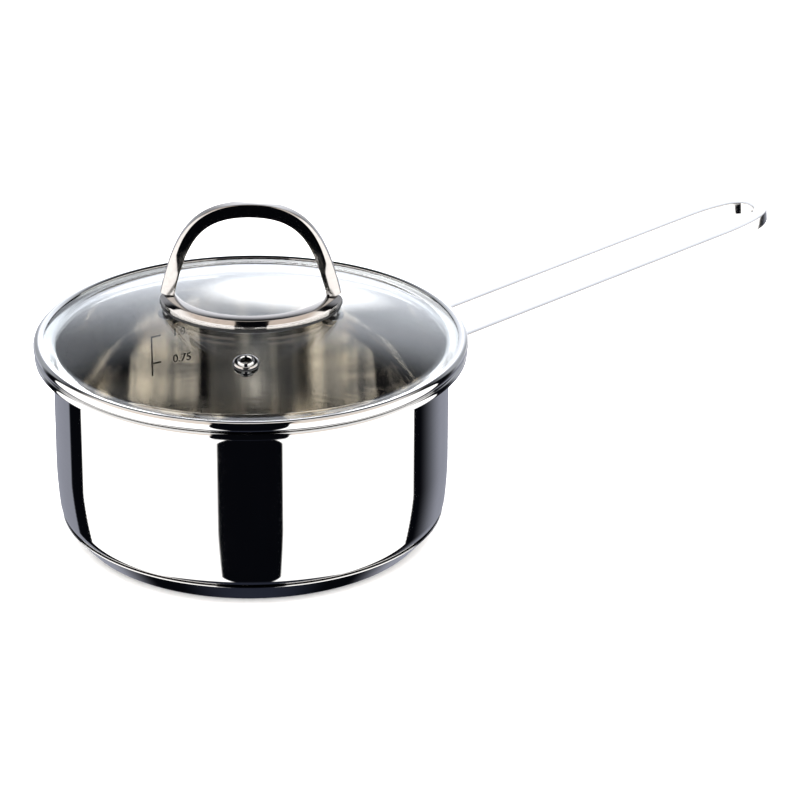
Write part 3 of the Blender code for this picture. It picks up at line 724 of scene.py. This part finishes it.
class Nodes:
    """Adds nodes to a tree and links them by value."""

    def __init__(self, tree):
        self.tree = tree

    def add(self, kind, inputs=(), **settings):
        made = self.tree.nodes.new(kind)
        for key, value in settings.items():
            setattr(made, key, value)
        for key, value in dict(inputs).items():
            self.feed(made.inputs[key], value)
        return made

    def feed(self, socket, value):
        if isinstance(value, bpy.types.NodeSocket):
            self.tree.links.new(value, socket)
        else:
            socket.default_value = value

    def math(self, operation, *values):
        made = self.add("ShaderNodeMath", operation=operation)
        for socket, value in zip(made.inputs, values):
            self.feed(socket, value)
        return made.outputs[0]

    def times(self, a, b):
        return self.math("MULTIPLY", a, b)

    def plus(self, a, b):
        return self.math("ADD", a, b)

    def smooth(self, value, low, high, start=0.0, end=1.0):
        """start below low, end above high, and a smooth step between."""
        made = self.add("ShaderNodeMapRange", {"Value": value, "From Min": low, "From Max": high,
                                               "To Min": start, "To Max": end},
                        interpolation_type="SMOOTHSTEP")
        return made.outputs["Result"]

    def blend(self, factor, a, b):
        made = self.add("ShaderNodeMix", data_type="RGBA")
        for index, value in ((0, factor), (6, a), (7, b)):
            self.feed(made.inputs[index], value)
        return made.outputs[2]

    def noise(self, vector, scale, detail=3.0, rough=0.5):
        made = self.add("ShaderNodeTexNoise", {"Vector": vector, "Scale": scale, "Detail": detail,
                                               "Roughness": rough})
        return made.outputs["Fac"]

    def combine(self, x, y, z):
        return self.add("ShaderNodeCombineXYZ", {"X": x, "Y": y, "Z": z}).outputs[0]

    def length(self, a, b):
        return self.math("SQRT", self.plus(self.times(a, a), self.times(b, b)))

    def bump(self, shader, height, depth, strength=1.0):
        """Relief of a depth in millimetres."""
        made = self.add("ShaderNodeBump", {"Height": height, "Strength": strength,
                                           "Distance": depth * MM})
        self.feed(shader.inputs["Normal"], made.outputs[0])


def new_material(name):
    """A material with an empty surface shader, its nodes, and the piece's own coordinates."""
    material = bpy.data.materials.new(name)
    material.use_nodes = True
    material.node_tree.nodes.clear()
    n = Nodes(material.node_tree)
    shader = n.add("ShaderNodeBsdfPrincipled")
    out = n.add("ShaderNodeOutputMaterial")
    n.tree.links.new(shader.outputs[0], out.inputs["Surface"])
    place = n.add("ShaderNodeTexCoord").outputs["Object"]
    return material, n, shader, place


def grain_vector(n, place, direction):
    """Coordinates that stretch a noise into hairlines: round the axis, or along X."""
    x, y, z = n.add("ShaderNodeSeparateXYZ", {"Vector": place}).outputs
    if direction == "turned":
        angle = n.math("ARCTAN2", y, x)
        return n.combine(n.times(n.length(x, y), HAIR_ACROSS), n.times(z, HAIR_ACROSS),
                         n.times(angle, HAIR_ALONG * 0.1))
    return n.combine(n.times(x, HAIR_ALONG), n.times(y, HAIR_ACROSS), n.times(z, HAIR_ACROSS))


def metal(name, light, dark, rough, direction, hair=0.3, wave=0.0, hair_depth=0.0):
    """Steel with hairlines, cloudy wear in its polish and a faint waviness."""
    material, n, shader, place = new_material(name)
    hairs = n.noise(grain_vector(n, place, direction), 1.0, 4.0, 0.6)
    cloud = n.noise(place, CLOUD_SCALE, 3.0, 0.55)
    tone = n.plus(n.times(cloud, 1 - hair), n.times(hairs, hair))
    shade = n.smooth(tone, 0.3, 0.7)
    n.feed(shader.inputs["Base Color"], n.blend(shade, (*dark, 1.0), (*light, 1.0)))
    n.feed(shader.inputs["Roughness"], n.smooth(tone, 0.25, 0.75, *rough))
    shader.inputs["Metallic"].default_value = 1.0
    height = n.times(hairs, hair_depth)
    if wave:
        height = n.plus(height, n.times(n.noise(place, WAVE_SCALE, 1.0), wave))
    n.bump(shader, height, 1.0)
    return material


def reflection_banded_steel(name, light, dark, rough):
    """Steel with broad soft bands up the wall and fine hairlines round it. The bands are painted
    reflections in its colour, from dark grey to warm beige.
    """
    material, n, shader, place = new_material(name)
    x, y, z = n.add("ShaderNodeSeparateXYZ", {"Vector": place}).outputs
    radius = n.math("MAXIMUM", n.length(x, y), MM)
    across = n.math("DIVIDE", x, radius)
    along = n.math("DIVIDE", y, radius)

    def bands(count, rise):
        way = n.combine(n.times(across, count), n.times(along, count), n.times(z, rise))
        return n.noise(way, 1.0, 2.0, 0.5)

    hairs = n.noise(grain_vector(n, place, "turned"), 1.0, 4.0, 0.6)
    broad = n.smooth(bands(*BROAD_REFLECTION_BANDS), *BROAD_REFLECTION_EDGES)
    fine = n.smooth(bands(*FINE_REFLECTION_BANDS), *FINE_REFLECTION_EDGES)
    of_broad, of_fine, of_hairs = REFLECTION_AND_HAIR_SHARES
    tone = n.plus(n.times(broad, of_broad), n.plus(n.times(fine, of_fine), n.times(hairs, of_hairs)))
    # Painted reflections: the bands blend the steel's colour from dark grey to warm beige.
    n.feed(shader.inputs["Base Color"], n.blend(tone, (*dark, 1.0), (*light, 1.0)))
    n.feed(shader.inputs["Roughness"], n.smooth(tone, 0.1, 0.9, *rough))
    shader.inputs["Metallic"].default_value = 1.0
    n.bump(shader, hairs, BAND_HAIR_DEPTH)
    return material


def glass_material():
    """Clear glass with a trace of haze and of waviness."""
    material, n, shader, place = new_material("tempered_glass")
    cloud = n.noise(place, 18.0, 4.0, 0.6)
    n.feed(shader.inputs["Roughness"], n.smooth(cloud, 0.45, 0.8, *GLASS_HAZE))
    n.feed(shader.inputs["Base Color"], n.blend(cloud, *GLASS_TINTS))
    shader.inputs["Transmission Weight"].default_value = 1.0
    shader.inputs["IOR"].default_value = GLASS_IOR
    n.bump(shader, n.noise(place, 14.0, 1.0), GLASS_WAVE_DEPTH)
    return material


def rubber(name, colour, rough):
    """A dark dull surface with fine specks."""
    material, n, shader, place = new_material(name)
    speck = n.noise(place, SPECK_SCALE, 2.0)
    lighter = tuple(1.6 * c + 0.01 for c in colour)
    n.feed(shader.inputs["Base Color"], n.blend(speck, (*colour, 1.0), (*lighter, 1.0)))
    n.feed(shader.inputs["Roughness"], n.smooth(speck, 0.2, 0.8, rough - 0.1, rough + 0.1))
    n.bump(shader, speck, SPECK_DEPTH, 0.4)
    return material


# Studio

class Sky(Nodes):
    """The studio as seen from the object: azimuth 0 and x lie toward the camera."""

    def __init__(self, tree):
        super().__init__(tree)
        direction = self.add("ShaderNodeTexCoord").outputs["Generated"]
        facing = math.atan2(CAMERA_BACK.y, CAMERA_BACK.x)
        turned_way = self.add("ShaderNodeVectorRotate", {"Vector": direction, "Angle": -facing},
                              rotation_type="Z_AXIS").outputs[0]
        self.x, self.y, self.z = self.add("ShaderNodeSeparateXYZ", {"Vector": turned_way}).outputs
        to_degrees = 180 / math.pi
        self.azimuth = self.times(self.math("ARCTAN2", self.y, self.x), to_degrees)
        limited = self.math("MINIMUM", self.math("MAXIMUM", self.z, -1.0), 1.0)
        self.elevation = self.times(self.math("ARCSINE", limited), to_degrees)
        self.away = self.math("ABSOLUTE", self.azimuth)
        self.bearing = self.math("WRAP", self.azimuth, 360.0, 0.0)

    def between(self, value, rise, fall):
        """1 between two soft edges, each given by its start and end."""
        return self.times(self.smooth(value, *rise), self.smooth(value, *fall, 1.0, 0.0))

    def rest(self, mask):
        return self.math("SUBTRACT", 1.0, mask)

    def oval(self, a, b, middle, half, soft):
        """A soft-edged oval in any two coordinates."""
        across = self.math("DIVIDE", self.math("SUBTRACT", a, middle[0]), half[0])
        up = self.math("DIVIDE", self.math("SUBTRACT", b, middle[1]), half[1])
        size = self.length(across, up)
        return self.smooth(size, 1 - soft, 1 + soft, 1.0, 0.0)

    def rounded_panel(self, middle, half, corner, soft):
        """A panel in azimuth and elevation with rounded corners."""
        sizes = []
        for value, centre, reach, bend in zip((self.azimuth, self.elevation), middle, half, corner):
            out = self.math("ABSOLUTE", self.math("SUBTRACT", value, centre))
            past = self.math("MAXIMUM", self.math("SUBTRACT", out, reach - bend), 0.0)
            sizes.append(self.math("DIVIDE", past, bend))
        size = self.length(*sizes)
        return self.smooth(size, 1 - soft, 1 + soft, 1.0, 0.0)

    def light(self, mask, colour, strength):
        """A light of one colour where the mask is."""
        made = self.add("ShaderNodeVectorMath", {0: tuple(c * strength for c in colour)},
                        operation="SCALE")
        self.feed(made.inputs["Scale"], mask)
        return made.outputs[0]

    def sum(self, vectors):
        total = vectors[0]
        for vector in vectors[1:]:
            total = self.add("ShaderNodeVectorMath", {0: total, 1: vector}, operation="ADD").outputs[0]
        return total


def wall_lights(sky, open_gap):
    """White walls beside and in front of the object, and the warm eaves above them."""
    panel = sky.rounded_panel(WALL_MIDDLE, WALL_HALF, WALL_CORNER, WALL_SOFT)
    walls = sky.times(panel, open_gap)
    return [sky.light(sky.times(walls, sky.smooth(sky.elevation, *EAVES_START, 1.0, 0.0)), *WALL_LIGHT),
            sky.light(sky.times(walls, sky.smooth(sky.elevation, *EAVES_START)), *EAVES_LIGHT)]


def roof_light(sky, open_gap):
    """A bright roof over the back of the object, with a soft dark hole in it."""
    hole = sky.oval(sky.away, sky.elevation, ROOF_HOLE_MIDDLE, ROOF_HOLE_HALF, ROOF_HOLE_SOFT)
    roof = sky.times(sky.smooth(sky.elevation, *ROOF_START), sky.rest(hole))
    roof = sky.times(sky.times(roof, open_gap), sky.smooth(sky.away, *ROOF_FRONT))
    return sky.light(roof, *ROOF_LIGHT)


def back_lights(sky):
    """Grey wings and a pale sweep behind the object, with a lamp in it."""
    wings = sky.plus(sky.smooth(sky.azimuth, *WING_LEFT, WING_GREY, 0.0),
                     sky.smooth(sky.azimuth, *WING_RIGHT, 0.0, WING_GREY))
    wings = sky.times(wings, sky.between(sky.elevation, *WING_HEIGHTS))
    rise, fall = SWEEP_BEARINGS
    middle = sky.times(sky.smooth(sky.bearing, *rise, 0.0, SWEEP_MIDDLE),
                       sky.smooth(sky.bearing, *fall, 1.0, 0.0))
    sweep = sky.plus(sky.smooth(sky.away, *SWEEP_FRONT, 0.0, SWEEP_BASE), middle)
    sweep = sky.times(sweep, sky.between(sky.elevation, *SWEEP_HEIGHTS))
    lamp = sky.oval(sky.bearing, sky.elevation, LAMP_MIDDLE, LAMP_HALF, LAMP_SOFT)
    return [sky.light(wings, *WING_LIGHT), sky.light(sweep, *SWEEP_LIGHT),
            sky.light(lamp, *LAMP_LIGHT)]


def studio_world():
    """Soft light panels all round the object, seen in its polished steel and glass."""
    world = bpy.data.worlds.new("studio")
    bpy.context.scene.world = world
    world.use_nodes = True
    world.node_tree.nodes.clear()
    sky = Sky(world.node_tree)
    gap = sky.oval(sky.y, sky.z, GAP_MIDDLE, GAP_HALF, GAP_SOFT)
    open_gap = sky.rest(sky.times(gap, sky.smooth(sky.x, -GAP_SOFT, GAP_SOFT)))
    ground = sky.smooth(sky.elevation, *GROUND_START, 1.0, 0.1)
    lights = wall_lights(sky, open_gap) + [roof_light(sky, open_gap)] + back_lights(sky)
    total = sky.sum(lights + [sky.light(ground, *GROUND_LIGHT)])
    camera_ray = sky.add("ShaderNodeLightPath").outputs["Is Camera Ray"]
    seen = sky.blend(camera_ray, total, WHITE)
    background = sky.add("ShaderNodeBackground", {"Color": seen, "Strength": 1.0})
    out = sky.add("ShaderNodeOutputWorld")
    sky.tree.links.new(background.outputs[0], out.inputs["Surface"])


def make_floor():
    """A plain pale floor that the polished steel doesn't mirror."""
    mesh = bpy.data.meshes.new("floor")
    reach = FLOOR_REACH
    mesh.from_pydata([(-reach, -reach, 0), (reach, -reach, 0), (reach, reach, 0), (-reach, reach, 0)],
                     [], [(0, 1, 2, 3)])
    floor = bpy.data.objects.new("floor", mesh)
    bpy.context.scene.collection.objects.link(floor)
    material, n, shader, place = new_material("pale_floor")
    tone = n.noise(place, 3.0, 2.0)
    n.feed(shader.inputs["Base Color"], n.blend(tone, *FLOOR_TONES))
    shader.inputs["Roughness"].default_value = 0.9
    shader.inputs["Specular IOR Level"].default_value = 0.0
    mesh.materials.append(material)
    floor.visible_glossy = False


def make_key():
    """A broad soft light overhead for the floor and the rubber parts."""
    light = bpy.data.lights.new("overhead", "AREA")
    light.size = KEY_SIZE
    light.energy = KEY_POWER
    lamp = bpy.data.objects.new("overhead", light)
    lamp.location = (0.0, 0.0, KEY_HEIGHT)
    lamp.visible_glossy = False
    lamp.visible_transmission = False
    bpy.context.scene.collection.objects.link(lamp)


def make_camera():
    """The photograph's viewing angle."""
    right = CAMERA_BACK.cross(Vector((0, 0, 1))).normalized() * -1
    up = CAMERA_BACK.cross(right)
    rolled_right = right * math.cos(CAMERA_ROLL) + up * math.sin(CAMERA_ROLL)
    rolled_up = up * math.cos(CAMERA_ROLL) - right * math.sin(CAMERA_ROLL)
    data = bpy.data.cameras.new("camera")
    data.lens = CAMERA_LENS
    data.sensor_width = CAMERA_SENSOR
    data.clip_start = 0.05
    camera = bpy.data.objects.new("camera", data)
    turn = Matrix((rolled_right, rolled_up, CAMERA_BACK)).transposed().to_4x4()
    camera.matrix_world = Matrix.Translation(CAMERA_TARGET + CAMERA_BACK * CAMERA_DISTANCE) @ turn
    bpy.context.scene.collection.objects.link(camera)
    bpy.context.scene.camera = camera


def dress(material, *names):
    """Give CAD nodes that stay in view a procedural material."""
    for name in names:
        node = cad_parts[name]
        node.data.materials.clear()
        node.data.materials.append(material)


def make_metals():
    """The metals of the outside, knob, handle, inside and base core."""
    polished = metal("polished_steel", light=(0.66, 0.655, 0.65), dark=(0.60, 0.60, 0.60),
                     rough=(0.015, 0.05), direction="turned", hair=0.25, wave=0.004)
    knob = metal("knob_polish", light=(0.52, 0.495, 0.475), dark=(0.43, 0.41, 0.395),
                 rough=(0.04, 0.12), direction="along", hair=0.4, wave=0.006)
    handle = metal("handle_satin", light=(0.84, 0.825, 0.82), dark=(0.76, 0.75, 0.745),
                   rough=(0.10, 0.18), direction="along", hair=0.5, hair_depth=0.0003)
    # The inside's colour holds painted reflections, dark grey to warm beige bands.
    satin = reflection_banded_steel("brushed_inside_painted_reflections", light=(0.86, 0.81, 0.735), dark=(0.24, 0.24, 0.245),
                        rough=(0.05, 0.12))
    aluminium = metal("bare_aluminium", light=(0.85, 0.85, 0.86), dark=(0.75, 0.75, 0.76),
                      rough=(0.3, 0.4), direction="turned")
    return polished, knob, handle, satin, aluminium


def main():
    polished, knob, handle, satin, aluminium = make_metals()
    silicone = rubber("black_silicone", (0.012, 0.012, 0.013), 0.5)
    etched = rubber("etched_mark", (0.03, 0.027, 0.024), 0.6)

    make_pot(polished, satin)
    make_base(polished)
    make_handle(handle)
    make_marks(etched)
    make_glass(glass_material())
    make_rim(polished)
    make_arch(knob)
    make_foot(knob)
    make_pad(silicone)
    make_vent(polished, silicone)
    make_fixings(polished, silicone)
    dress(aluminium, "core_disc")
    dress(handle, "handle_plate")

    make_camera()
    studio_world()
    make_key()
    make_floor()
    bpy.context.scene.view_settings.view_transform = "Standard"


main()
